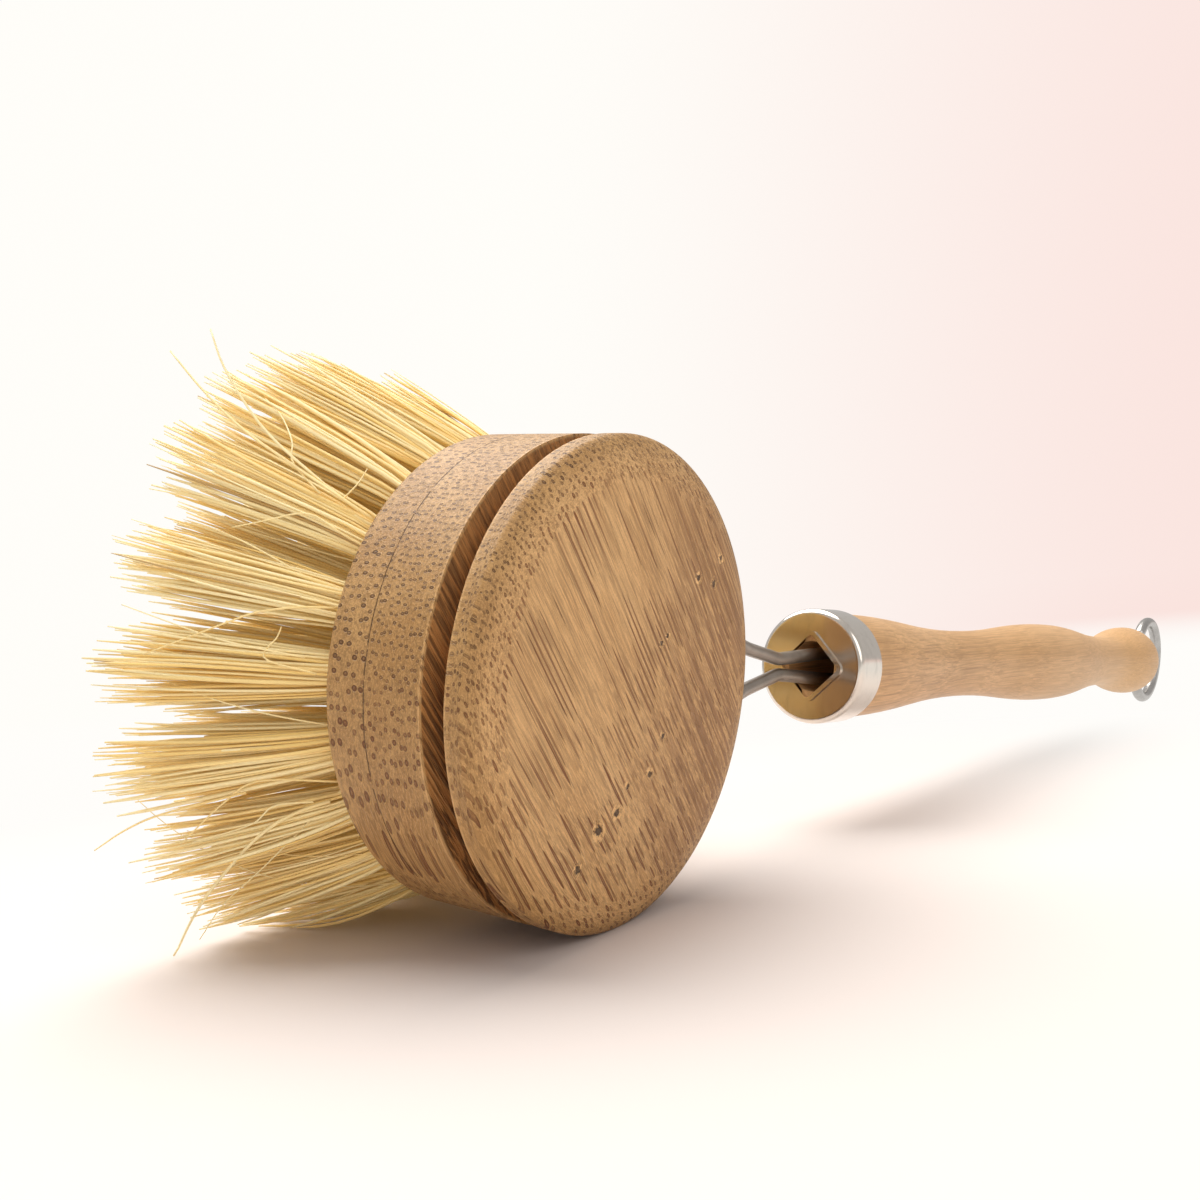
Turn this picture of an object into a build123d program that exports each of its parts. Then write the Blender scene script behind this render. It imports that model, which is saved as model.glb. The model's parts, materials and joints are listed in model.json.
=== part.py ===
from build123d import *
from math import asin, atan2, cos, degrees, hypot, pi, radians, sin, sqrt, tan
import os

# Dish brush with a replaceable head, lying on its side as it does when it is put down.
# The brush has its own directions: x from the head's centre along the neck to the handle,
# y from the head's plain face to its bristles, z across both. The head's centre is where the
# middle of its groove crosses its axis. All sizes are in millimetres, angles in degrees.

# Head: two glued bamboo boards, turned to a disc with a groove for the clamp wires
head_radius = 25.0
face_depth = 4.75
bristle_face_height = 13.9
glue_line_height = 8.15
groove_width = 2.8
groove_depth = 3.6
face_edge_radial = 5.0
face_edge_axial = 1.75
bristle_edge_radial = 3.2
bristle_edge_axial = 1.35
peg_hole_radius = 1.25
peg_hole_shift = 0.3
peg_hole_depth = 2.4

# Tufts: bundles of plant fibre, folded over a flat wire anchor and driven into drilled holes
ring_counts = (1, 7, 14, 20)
ring_names = ("centre", "inner", "middle", "outer")
ring_pitch = 6.6
tuft_hole_radius = 2.15
tuft_hole_depth = 5.2
tuft_clearance = 0.05
bristle_tip_height = 40.0
uneven_cut = 1.8
uneven_steps = 4
strand_width = 0.62
strand_turns = (1, 3, 6)
strand_pitch = 0.78
splay_share = 1.4
fan_share = 2.25
collar_height = 0.4
anchor_width = 3.6
anchor_thickness = 0.5
anchor_height = 1.2

# Clamp: two spring steel wires that lie in the groove and end in pegs bent into the head
wire_radius = 0.85
wire_floor_gap = 0.2
peg_length = 1.5
peg_bend_radius = 1.2
shoulder_radius = 20.0
neck_reach = 40.5
neck_gap = 0.3
neck_bend_radius = 6.0
converge_angle = 10.0
diverge_angle = 3.5
wire_seat_depth = 3.0
wire_seat_clearance = 0.12

# Ferrule: pressed steel cap with a square hole, set cornerwise, that the wires pass through
ferrule_radius = 7.7
ferrule_wall = 0.45
ferrule_length = 5.8
ferrule_edge_radius = 0.8
ferrule_front = 8.5
ferrule_clearance = 0.05
square_half_diagonal = 4.4
square_corner_radius = 0.6
burr_width = 0.55
burr_height = 0.35

# Handle: turned bamboo, set by the neck's bend to lean away from the bristles and to droop a little
handle_lean = 3.55
handle_droop = 1.1
grip_length = 150.0
waist_radius = 5.3
waist_place = 47.0
belly_radius = 7.05
belly_place = 88.5
neck_radius = 5.05
neck_place = 124.0
knob_radius = 7.25
knob_place = 143.2
end_radius = 3.4
curve_handle_share = 0.45
end_round_share = 0.55
bore_radius = 3.4
bore_depth = 13.5

# Hanging hook: steel wire screw hook in the end of the knob
hook_wire_radius = 1.15
hook_loop_radius = 8.7
hook_throat_radius = 2.5
hook_shank_length = 14.0
hook_stand_off = 0.5
hook_tip_angle = 135.0
hook_clearance = 0.02

overrun = 1.0

# Places that follow from the sizes
groove_floor_radius = head_radius - groove_depth
wire_arc_radius = groove_floor_radius + wire_floor_gap + wire_radius
rim_place = face_edge_axial - face_depth
root_radius = strand_pitch * (len(strand_turns) - 1)
outer_ring_radius = ring_pitch * (len(ring_counts) - 1)
tip_radius = splay_share * outer_ring_radius + fan_share * root_radius + strand_width / 2
wood_front = ferrule_front + ferrule_wall
wood_end = wood_front + grip_length
hook_bend_place = wood_end + hook_stand_off
hook_outer_radius = hook_loop_radius + hook_wire_radius
hook_centre_place = hook_bend_place + sqrt(hook_loop_radius**2 + 2 * hook_loop_radius * hook_throat_radius)

# The brush lies on the rim at its face, its lowest bristle tips and its hook
lean = radians(handle_lean)
droop = radians(handle_droop)
hook_x = neck_reach + hook_centre_place * cos(lean) * cos(droop)
hook_y = -hook_centre_place * sin(lean) * cos(droop)
hook_z = -hook_centre_place * sin(droop)
knob_x = neck_reach + (wood_front + knob_place) * cos(lean)
knob_y = -(wood_front + knob_place) * sin(lean)
roll = atan2(tip_radius - head_radius, bristle_tip_height - rim_place)
hook_drop = head_radius - hook_outer_radius + (hook_y - rim_place) * tan(roll)
slope = asin(hook_drop / hypot(hook_x, hook_z)) - atan2(-hook_z, hook_x)
middle_x = (hook_x + hook_outer_radius - tip_radius) / 2
high_y = bristle_tip_height * cos(roll) + tip_radius * sin(roll)
low_y = knob_y - knob_radius + knob_x * sin(slope) * sin(roll)
rest_height = head_radius * cos(roll) - rim_place * sin(roll)
brush = Plane(Location((-middle_x, -(high_y + low_y) / 2, rest_height), (degrees(roll), degrees(slope), 0)))

# Planes of the pieces: the head looks along the bristles, the side planes hold the wires and hook
head = Plane(brush.origin, x_dir=brush.x_dir, z_dir=brush.y_dir)
brush_side = Plane(brush.origin, x_dir=brush.x_dir, z_dir=-brush.y_dir)
neck_point = brush.from_local_coords(Vector(neck_reach, 0, 0))
handle_ahead = (brush.x_dir * cos(lean) - brush.y_dir * sin(lean)) * cos(droop) - brush.z_dir * sin(droop)
handle_across = brush.x_dir * sin(lean) + brush.y_dir * cos(lean)
handle = Plane(neck_point, x_dir=handle_ahead, z_dir=handle_ahead.cross(handle_across))
handle_side = Plane(neck_point, x_dir=handle_ahead, z_dir=-handle_across)
head_axis = Axis(brush.origin, brush.y_dir)
handle_axis = Axis(neck_point, handle_ahead)

os.makedirs("parts", exist_ok=True)


def finish(piece, name):
    """Label a finished piece and write it to its file."""
    piece.label = name
    export_step(piece, f"parts/{name}.step")


# Head block: the grooved board with the plain face
with BuildPart() as head_block:
    with BuildSketch(brush):
        with BuildLine():
            Polyline(
                (head_radius, rim_place),
                (head_radius, -groove_width / 2),
                (groove_floor_radius, -groove_width / 2),
                (groove_floor_radius, groove_width / 2),
                (head_radius, groove_width / 2),
                (head_radius, glue_line_height),
                (0, glue_line_height),
                (0, -face_depth),
                (head_radius - face_edge_radial, -face_depth),
            )
            EllipticalCenterArc(
                (head_radius - face_edge_radial, rim_place), face_edge_radial, face_edge_axial,
                start_angle=270, arc_size=90,
            )
        make_face()
    revolve(axis=head_axis)
    peg_hole_floor = groove_floor_radius - peg_hole_depth
    for side in (1, -1):
        hole_end = brush.from_local_coords(Vector(peg_hole_shift, 0, side * peg_hole_floor))
        with BuildSketch(Plane(hole_end, x_dir=brush.x_dir, z_dir=brush.z_dir * side)):
            Circle(peg_hole_radius)
        extrude(amount=peg_hole_depth + overrun, mode=Mode.SUBTRACT)
finish(head_block.part, "head_block")

# Bristle board: glued to the block, with a drilled hole for each tuft
with BuildPart() as bristle_board:
    with BuildSketch(brush):
        with BuildLine():
            Polyline(
                (head_radius - bristle_edge_radial, bristle_face_height),
                (0, bristle_face_height),
                (0, glue_line_height),
                (head_radius, glue_line_height),
                (head_radius, bristle_face_height - bristle_edge_axial),
            )
            EllipticalCenterArc(
                (head_radius - bristle_edge_radial, bristle_face_height - bristle_edge_axial),
                bristle_edge_radial, bristle_edge_axial,
                start_angle=0, arc_size=90,
            )
        make_face()
    revolve(axis=head_axis)
    with BuildSketch(head.offset(bristle_face_height)):
        for ring, count in enumerate(ring_counts):
            with PolarLocations(ring * ring_pitch, count):
                Circle(tuft_hole_radius)
    extrude(amount=-tuft_hole_depth, mode=Mode.SUBTRACT)
finish(bristle_board.part, "bristle_board")

# Tuft anchors: a flat wire in the bottom of each hole
hole_floor_height = bristle_face_height - tuft_hole_depth
with BuildPart() as tuft_anchors:
    with BuildSketch(head.offset(hole_floor_height)):
        for ring, count in enumerate(ring_counts):
            with PolarLocations(ring * ring_pitch, count):
                Rectangle(anchor_thickness, anchor_width)
    extrude(amount=anchor_height)
finish(tuft_anchors.part, "tuft_anchors")

# Tufts: a plug in the hole, and strands that fan out of it
strand_spots = [
    (turn * strand_pitch, 2 * pi * step / count)
    for turn, count in enumerate(strand_turns)
    for step in range(count)
]
plug_floor_height = hole_floor_height + anchor_height


def strand(ring, ring_angle, spot, cut):
    """One square strand, from inside the plug to its own tip, straight and of even thickness."""
    root_distance, root_angle = spot
    across = (root_distance * cos(root_angle), root_distance * sin(root_angle))
    root_x, root_y = ring * ring_pitch + across[0], across[1]
    tip_x = splay_share * ring * ring_pitch + fan_share * across[0]
    tip_y = fan_share * across[1]
    tuft_x = head.x_dir * cos(ring_angle) + head.y_dir * sin(ring_angle)
    tuft_y = head.y_dir * cos(ring_angle) - head.x_dir * sin(ring_angle)
    rise = bristle_tip_height - cut - bristle_face_height
    run = tuft_x * (tip_x - root_x) + tuft_y * (tip_y - root_y) + head.z_dir * rise
    base = head.origin + tuft_x * root_x + tuft_y * root_y + head.z_dir * bristle_face_height
    square = Plane(base, x_dir=tuft_x, z_dir=head.z_dir) * Rectangle(strand_width, strand_width)
    return Solid.extrude(square.face(), run)


tuft_number = 0
for ring, count in enumerate(ring_counts):
    for step in range(count):
        ring_angle = 2 * pi * step / count
        strands = [
            strand(
                ring, ring_angle, spot,
                uneven_cut * ((tuft_number + 2 * place) % (uneven_steps + 1)) / uneven_steps,
            )
            for place, spot in enumerate(strand_spots)
        ]
        with BuildPart() as tuft:
            with BuildSketch(head.offset(plug_floor_height)):
                with Locations((ring * ring_pitch * cos(ring_angle), ring * ring_pitch * sin(ring_angle))):
                    Circle(tuft_hole_radius - tuft_clearance)
            extrude(amount=bristle_face_height + collar_height - plug_floor_height)
            add(strands)
        finish(tuft.part, f"tuft_{ring_names[ring]}_{step + 1:02d}")
        tuft_number += 1
print("strands", tuft_number * len(strand_spots))

# Clamp wires: peg, groove arc, shoulder arc, straight to the neck, bend, straight into the handle
converge = radians(converge_angle)
diverge = radians(diverge_angle)
neck_z = wire_radius + neck_gap / 2
into_neck = Vector(cos(converge), -sin(converge))
shoulder_at_neck = Vector(neck_reach + shoulder_radius * sin(converge), neck_z + shoulder_radius * cos(converge))
along = shoulder_at_neck.dot(into_neck)
arc_centres_apart = wire_arc_radius + shoulder_radius
straight_run = along - sqrt(along**2 - shoulder_at_neck.length**2 + arc_centres_apart**2)
shoulder = shoulder_at_neck - into_neck * straight_run
shoulder_end = Vector(neck_reach, neck_z) - into_neck * straight_run
groove_angle = degrees(atan2(shoulder.Y, shoulder.X))
peg_bend_height = sqrt((wire_arc_radius - peg_bend_radius) ** 2 - peg_bend_radius**2)
peg_angle = degrees(atan2(peg_bend_height, peg_bend_radius))
wire_end_place = wood_front + bore_depth + wire_seat_depth
wire_ends = []
for side, name in ((1, "upper"), (-1, "lower")):
    arriving = brush_side.x_dir * cos(converge) - brush_side.y_dir * (side * sin(converge))
    leaving = handle_side.x_dir * cos(diverge) + handle_side.y_dir * (side * sin(diverge))
    corner = brush_side.from_local_coords(Vector(neck_reach, side * neck_z, 0))
    bend_run = neck_bend_radius * tan(radians(arriving.get_angle(leaving)) / 2)
    wire_end = corner + leaving * (wire_end_place / cos(diverge))
    wire_ends.append(Plane(wire_end, z_dir=leaving))
    with BuildPart() as clamp_wire:
        with BuildLine(brush_side) as wire_path:
            Line((0, side * (peg_bend_height - peg_length)), (0, side * peg_bend_height))
            CenterArc(
                (peg_bend_radius, side * peg_bend_height), peg_bend_radius, 180, side * (peg_angle - 180)
            )
            CenterArc((0, 0), wire_arc_radius, side * peg_angle, side * (groove_angle - peg_angle))
            CenterArc(
                (shoulder.X, side * shoulder.Y), shoulder_radius,
                side * (180 + groove_angle), side * (90 - groove_angle - converge_angle),
            )
            Line(
                brush_side.from_local_coords(Vector(shoulder_end.X, side * shoulder_end.Y, 0)),
                corner - arriving * bend_run,
            )
            TangentArc(corner - arriving * bend_run, corner + leaving * bend_run, tangent=arriving)
            Line(corner + leaving * bend_run, wire_end)
        with BuildSketch(Plane(wire_path.line @ 0, z_dir=wire_path.line % 0)):
            Circle(wire_radius)
        sweep(path=wire_path.line)
    finish(clamp_wire.part, f"clamp_wire_{name}")
    section_share = clamp_wire.part.volume / (pi * wire_radius**2 * wire_path.wire().length)
    print(name, "wire volume over section times length", round(section_share, 4))

# Ferrule: cap with a raised burr round its punched hole
with BuildPart() as ferrule:
    with BuildSketch(handle):
        with BuildLine():
            Polyline(
                (ferrule_front + ferrule_edge_radius, ferrule_radius),
                (ferrule_front + ferrule_length, ferrule_radius),
                (ferrule_front + ferrule_length, ferrule_radius - ferrule_wall),
                (wood_front, ferrule_radius - ferrule_wall),
                (wood_front, 0),
                (ferrule_front, 0),
                (ferrule_front, ferrule_radius - ferrule_edge_radius),
            )
            RadiusArc(
                (ferrule_front, ferrule_radius - ferrule_edge_radius),
                (ferrule_front + ferrule_edge_radius, ferrule_radius), ferrule_edge_radius,
            )
        make_face()
    revolve(axis=handle_axis)
    square_side = square_half_diagonal * sqrt(2)
    cap_face = Plane(
        handle.from_local_coords(Vector(ferrule_front, 0, 0)), x_dir=handle.z_dir, z_dir=-handle.x_dir
    )
    with BuildSketch(cap_face):
        RectangleRounded(
            square_side + 2 * burr_width, square_side + 2 * burr_width,
            square_corner_radius + burr_width, rotation=45,
        )
    extrude(amount=burr_height)
    with BuildSketch(cap_face.offset(burr_height)):
        RectangleRounded(square_side, square_side, square_corner_radius, rotation=45)
    extrude(amount=-(burr_height + ferrule_wall), mode=Mode.SUBTRACT)
finish(ferrule.part, "ferrule")

# Handle: turned profile through waist, belly, neck and knob, bored for the wires and the hook
front_radius = ferrule_radius - ferrule_wall - ferrule_clearance
turned = [
    (wood_front + ferrule_length, front_radius),
    (wood_front + waist_place, waist_radius),
    (wood_front + belly_place, belly_radius),
    (wood_front + neck_place, neck_radius),
    (wood_front + knob_place, knob_radius),
]
with BuildPart() as handle_grip:
    with BuildSketch(handle):
        with BuildLine():
            Polyline(
                turned[0], (wood_front, front_radius), (wood_front, 0), (wood_end, 0), (wood_end, end_radius)
            )
            for (near, near_radius), (far, far_radius) in zip(turned, turned[1:]):
                reach = (far - near) * curve_handle_share
                Bezier(
                    (near, near_radius), (near + reach, near_radius),
                    (far - reach, far_radius), (far, far_radius),
                )
            knob_run = wood_end - turned[-1][0]
            knob_drop = knob_radius - end_radius
            Bezier(
                turned[-1], (turned[-1][0] + knob_run * end_round_share, knob_radius),
                (wood_end, end_radius + knob_drop * end_round_share), (wood_end, end_radius),
            )
        make_face()
    revolve(axis=handle_axis)
    bore_mouth = Plane(
        handle.from_local_coords(Vector(wood_front, 0, 0)), x_dir=handle.z_dir, z_dir=handle.x_dir
    )
    with BuildSketch(bore_mouth):
        Circle(bore_radius)
    extrude(amount=bore_depth, mode=Mode.SUBTRACT)
    for wire_end in wire_ends:
        with BuildSketch(wire_end.offset(wire_seat_clearance)):
            Circle(wire_radius + wire_seat_clearance)
        extrude(amount=-(wire_seat_depth + overrun), mode=Mode.SUBTRACT)
    shank_start = hook_bend_place - hook_stand_off - hook_shank_length
    shank_hole = Plane(
        handle.from_local_coords(Vector(wood_end, 0, 0)), x_dir=handle.z_dir, z_dir=-handle.x_dir
    )
    with BuildSketch(shank_hole):
        Circle(hook_wire_radius + hook_clearance)
    extrude(amount=hook_shank_length, mode=Mode.SUBTRACT)
finish(handle_grip.part, "handle_grip")

# Hanging hook: shank, throat that turns down, and an open loop whose tip points back to the knob
throat_angle = degrees(atan2(hook_throat_radius, hook_centre_place - hook_bend_place))
with BuildPart() as hanging_hook:
    with BuildLine(handle_side) as hook_path:
        Line((shank_start, 0), (hook_bend_place, 0))
        CenterArc(
            (hook_bend_place, -hook_throat_radius), hook_throat_radius, 90, throat_angle - 90
        )
        CenterArc(
            (hook_centre_place, 0), hook_loop_radius,
            180 + throat_angle, 180 - throat_angle + hook_tip_angle,
        )
    with BuildSketch(Plane(hook_path.line @ 0, z_dir=hook_path.line % 0)):
        Circle(hook_wire_radius)
    sweep(path=hook_path.line)
    hook_end = hook_path.line @ 1
    with Locations(hook_end):
        Sphere(hook_wire_radius)
finish(hanging_hook.part, "hanging_hook")
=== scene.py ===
"""Dish brush with a replaceable head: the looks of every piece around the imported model."""

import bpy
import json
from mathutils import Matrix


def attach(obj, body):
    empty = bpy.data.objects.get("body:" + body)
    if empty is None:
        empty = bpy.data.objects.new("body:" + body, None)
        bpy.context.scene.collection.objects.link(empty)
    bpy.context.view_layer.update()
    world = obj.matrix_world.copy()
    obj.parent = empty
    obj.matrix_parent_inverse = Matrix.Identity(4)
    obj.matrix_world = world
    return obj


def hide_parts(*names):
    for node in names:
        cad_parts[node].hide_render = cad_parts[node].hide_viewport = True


bl_info = {
    "name": "Dish brush",
    "version": (1, 0, 0),
    "blender": (4, 5, 0),
    "location": "3D View > Sidebar > Dish brush",
    "description": "Finishes a bamboo dish brush: boards, fibre tufts, wire clamp, ferrule, handle and hook",
    "category": "Object",
}

import json
from functools import reduce
from math import cos, pi, radians, sin, sqrt

import bpy
import numpy as np
from bpy.props import FloatProperty, FloatVectorProperty, IntProperty, PointerProperty
from bpy.types import Operator, Panel, PropertyGroup
from mathutils import Matrix, Vector

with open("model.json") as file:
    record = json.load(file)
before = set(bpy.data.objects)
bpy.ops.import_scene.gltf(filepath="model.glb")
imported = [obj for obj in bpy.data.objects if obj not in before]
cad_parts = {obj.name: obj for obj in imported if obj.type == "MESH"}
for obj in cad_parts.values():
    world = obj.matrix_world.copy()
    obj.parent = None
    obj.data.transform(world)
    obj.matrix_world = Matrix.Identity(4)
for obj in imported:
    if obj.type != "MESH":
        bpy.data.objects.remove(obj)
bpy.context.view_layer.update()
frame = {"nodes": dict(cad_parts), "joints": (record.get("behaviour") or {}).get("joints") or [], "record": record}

MM = 0.001


# ---- Directions of the brush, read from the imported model

# The handle's place behind the head in millimetres, and how it leans there
NECK_REACH = 40.5
HANDLE_LEAN = radians(3.55)
HANDLE_DROOP = radians(1.1)


class Directions:
    """An origin and three directions in the row frame, with lengths given in millimetres."""

    def __init__(self, origin, x, y, z):
        self.origin, self.x, self.y, self.z = origin, x, y, z

    def towards(self, x, y, z):
        return self.x * x + self.y * y + self.z * z

    def point(self, x, y, z):
        return self.origin + self.towards(x, y, z) * MM

    def points(self, places):
        """Places as an array of x, y, z in millimetres, turned to row frame metres."""
        axes = np.array([self.x, self.y, self.z])
        return np.array(self.origin) + np.asarray(places) @ axes * MM


def brush_directions():
    """From the head's rocking joint: x along the neck, y from the plain face to the bristles, z upwards."""
    rock = next(joint for joint in frame["joints"] if joint["name"] == "head_rock")
    face = next(mount for mount in frame["record"]["mounts"] if mount["name"] == "head_face")
    origin = Vector(rock["pos_m"])
    z = Vector(rock["axis"]).normalized()
    y = (origin - Vector(face["pos_m"])).normalized()
    return Directions(origin, y.cross(z).normalized(), y, z)


def handle_directions(brush):
    """From the bend at the neck: x along the handle, y across it, z upwards."""
    level = brush.x * cos(HANDLE_LEAN) - brush.y * sin(HANDLE_LEAN)
    ahead = level * cos(HANDLE_DROOP) - brush.z * sin(HANDLE_DROOP)
    across = brush.x * sin(HANDLE_LEAN) + brush.y * cos(HANDLE_LEAN)
    return Directions(brush.point(NECK_REACH, 0, 0), ahead, across, ahead.cross(across))


brush = brush_directions()
handle = handle_directions(brush)


# ---- Settings that a user would change

class HeadSettings(PropertyGroup):
    """The two glued bamboo boards."""

    pale: FloatVectorProperty(
        name="Pale wood", description="Colour between the fibre bundles",
        subtype="COLOR", size=3, min=0, max=1, default=(0.68, 0.405, 0.170),
    )
    warm: FloatVectorProperty(
        name="Warm wood", description="Colour of the warmer patches",
        subtype="COLOR", size=3, min=0, max=1, default=(0.54, 0.295, 0.108),
    )
    bundle: FloatVectorProperty(
        name="Fibre bundles", description="Colour of the fibre bundles in the bamboo",
        subtype="COLOR", size=3, min=0, max=1, default=(0.150, 0.066, 0.018),
    )
    amber: FloatVectorProperty(
        name="Lying bundles", description="Colour of the bundles where they lie in the surface",
        subtype="COLOR", size=3, min=0, max=1, default=(0.205, 0.064, 0.012),
    )
    bundle_spacing: FloatProperty(
        name="Bundle spacing", description="Distance between fibre bundles",
        subtype="DISTANCE", unit="LENGTH", default=0.00094, min=0.0004, max=0.004,
    )


class TuftSettings(PropertyGroup):
    """The tufts of plant fibre."""

    ivory: FloatVectorProperty(
        name="Ivory fibre", description="Colour of the bleached fibres",
        subtype="COLOR", size=3, min=0, max=1, default=(1.0, 0.85, 0.480),
    )
    straw: FloatVectorProperty(
        name="Straw fibre", description="Colour of the golden fibres",
        subtype="COLOR", size=3, min=0, max=1, default=(0.94, 0.66, 0.220),
    )
    per_tuft: IntProperty(
        name="Fibres per tuft", description="Number of fibres in one tuft",
        default=82, min=20, max=400,
    )
    thickness: FloatProperty(
        name="Fibre thickness", description="Mean diameter of a fibre",
        subtype="DISTANCE", unit="LENGTH", default=0.00038, min=0.0001, max=0.001,
    )
    trim: FloatProperty(
        name="Trim height", description="Height of the fibre tips over the middle of the groove",
        subtype="DISTANCE", unit="LENGTH", default=0.0394, min=0.02, max=0.08,
    )
    loose: IntProperty(
        name="Loose strands", description="Number of strands that cross the tufts",
        default=48, min=0, max=400,
    )


class MetalSettings(PropertyGroup):
    """The clamp wires, ferrule, hook and anchors."""

    wire_tone: FloatVectorProperty(
        name="Wire", description="Colour of the drawn spring wire",
        subtype="COLOR", size=3, min=0, max=1, default=(0.38, 0.33, 0.285),
    )
    hook_tone: FloatVectorProperty(
        name="Hook", description="Colour of the plated hook",
        subtype="COLOR", size=3, min=0, max=1, default=(0.50, 0.48, 0.46),
    )
    anchor_tone: FloatVectorProperty(
        name="Anchors", description="Colour of the flat anchor wire",
        subtype="COLOR", size=3, min=0, max=1, default=(0.60, 0.58, 0.55),
    )
    plate_tone: FloatVectorProperty(
        name="Plating", description="Colour of the bright plating",
        subtype="COLOR", size=3, min=0, max=1, default=(0.74, 0.68, 0.61),
    )
    plate_roughness: FloatProperty(
        name="Plating roughness", description="Roughness of the bright plating",
        subtype="FACTOR", default=0.13, min=0, max=1,
    )


class HandleSettings(PropertyGroup):
    """The turned bamboo handle."""

    pale: FloatVectorProperty(
        name="Pale wood", description="Colour between the fibre bundles",
        subtype="COLOR", size=3, min=0, max=1, default=(0.67, 0.395, 0.180),
    )
    warm: FloatVectorProperty(
        name="Warm wood", description="Colour of the warmer patches",
        subtype="COLOR", size=3, min=0, max=1, default=(0.56, 0.310, 0.125),
    )
    bundle: FloatVectorProperty(
        name="Fibre bundles", description="Colour of the fibre bundles in the bamboo",
        subtype="COLOR", size=3, min=0, max=1, default=(0.31, 0.155, 0.065),
    )


class StageSettings(PropertyGroup):
    """Camera, lights and floor."""

    lens: FloatProperty(
        name="Lens", description="Focal length of the camera on a 36 mm frame",
        subtype="DISTANCE_CAMERA", default=38.0, min=10, max=200,
    )
    background: FloatProperty(
        name="Background", description="Strength of the pale background light",
        default=0.45, min=0, max=10,
    )
    gleam: FloatProperty(
        name="Gleam", description="Strength of the background in reflections",
        default=0.56, min=0, max=10,
    )
    floor_tone: FloatVectorProperty(
        name="Floor", description="Colour of the plain floor",
        subtype="COLOR", size=3, min=0, max=1, default=(0.74, 0.67, 0.64),
    )


# ---- Shader expressions

class Field:
    """A number, colour or vector that varies over a surface. Arithmetic on it adds Math nodes."""

    def __init__(self, surface, socket):
        self.surface, self.socket = surface, socket

    def math(self, operation, *values):
        return self.surface.node("ShaderNodeMath", {"operation": operation}, dict(enumerate(values)))

    def __add__(self, other):
        return self.math("ADD", self, other)

    def __sub__(self, other):
        return self.math("SUBTRACT", self, other)

    def __rsub__(self, other):
        return self.math("SUBTRACT", other, self)

    def __mul__(self, other):
        return self.math("MULTIPLY", self, other)

    def __truediv__(self, other):
        return self.math("DIVIDE", self, other)

    def __rtruediv__(self, other):
        return self.math("DIVIDE", other, self)

    __radd__, __rmul__ = __add__, __mul__

    def size(self):
        return self.math("ABSOLUTE", self)

    def power(self, exponent):
        return self.math("POWER", self, exponent)

    def least(self, other):
        return self.math("MINIMUM", self, other)

    def rise(self, low, high):
        """0 below low, 1 above high, smooth between them. It falls instead where low is the larger."""
        return self.surface.node(
            "ShaderNodeMapRange", {"interpolation_type": "SMOOTHSTEP"},
            {"Value": self, "From Min": low, "From Max": high},
        )


def hypotenuse(first, second):
    return (first * first + second * second).power(0.5)


class Shading:
    """A node tree, and the few calls that fill it."""

    def __init__(self, tree):
        self.tree = tree
        tree.nodes.clear()

    def put(self, socket, value):
        if isinstance(value, Field):
            self.tree.links.new(value.socket, socket)
        elif isinstance(value, (tuple, list)) and len(value) == 3 and socket.type == "RGBA":
            socket.default_value = (*value, 1)
        else:
            socket.default_value = value

    def node(self, kind, settings=None, inputs=None, output=0):
        """A node of one kind, with its settings made first and then its sockets filled or linked."""
        made = self.tree.nodes.new(kind)
        for name, value in (settings or {}).items():
            setattr(made, name, value)
        for name, value in (inputs or {}).items():
            self.put(made.inputs[name], value)
        return Field(self, made.outputs[output]) if made.outputs else None

    def mix(self, share, low, high, blend="MIX"):
        """A colour between low and high."""
        settings = {"data_type": "RGBA", "blend_type": blend}
        return self.node("ShaderNodeMix", settings, {0: share, 6: low, 7: high}, 2)

    def layered(self, colour, *layers):
        """A colour with others laid over it in turn, each given as its share and its tone."""
        for share, tone in layers:
            colour = self.mix(share, colour, tone)
        return colour

    def vector(self, operation, first, second, output=0):
        return self.node("ShaderNodeVectorMath", {"operation": operation}, {0: first, 1: second}, output)

    def dot(self, place, direction):
        return self.vector("DOT_PRODUCT", place, direction, "Value")

    def combine(self, x, y, z=0.0):
        return self.node("ShaderNodeCombineXYZ", None, {0: x, 1: y, 2: z})

    def noise(self, place, detail=2.0, roughness=0.5, distortion=0.0, scale=1.0):
        inputs = {
            "Vector": place, "Scale": scale, "Detail": detail, "Roughness": roughness, "Distortion": distortion,
        }
        return self.node("ShaderNodeTexNoise", {"noise_dimensions": "3D"}, inputs)


class Surface(Shading):
    """A material with one Principled shader."""

    def __init__(self, name, **constants):
        self.material = bpy.data.materials.new(name)
        self.material.use_nodes = True
        super().__init__(self.material.node_tree)
        finish = self.node("ShaderNodeBsdfPrincipled")
        self.node("ShaderNodeOutputMaterial", None, {"Surface": finish})
        self.inputs = finish.socket.node.inputs
        self.place = self.node("ShaderNodeTexCoord", output="Object")
        for socket, value in constants.items():
            self.feed(socket.replace("_", " "), value)

    def feed(self, name, value):
        self.put(self.inputs[name], value)

    def along(self, directions, axis):
        """Distance in millimetres from the directions' origin along one of them."""
        away = self.vector("SUBTRACT", self.place, tuple(directions.origin))
        return self.dot(away, tuple(axis)) * (1 / MM)

    def cells(self, place, randomness=1.0, output="Distance", dimensions="3D"):
        return self.node(
            "ShaderNodeTexVoronoi", {"voronoi_dimensions": dimensions},
            {"Vector": place, "Scale": 1.0, "Randomness": randomness}, output,
        )

    def red(self, colour):
        return self.node("ShaderNodeSeparateColor", None, {0: colour}, "Red")

    def bump(self, height, strength, distance, under=None):
        """A Bump node, on top of another one where that is given. The distance is in metres."""
        inputs = {"Height": height, "Strength": strength, "Distance": distance}
        if under is not None:
            inputs["Normal"] = under
        return self.node("ShaderNodeBump", None, inputs)

    def dress(self, piece):
        piece.data.materials.clear()
        piece.data.materials.append(self.material)


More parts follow.
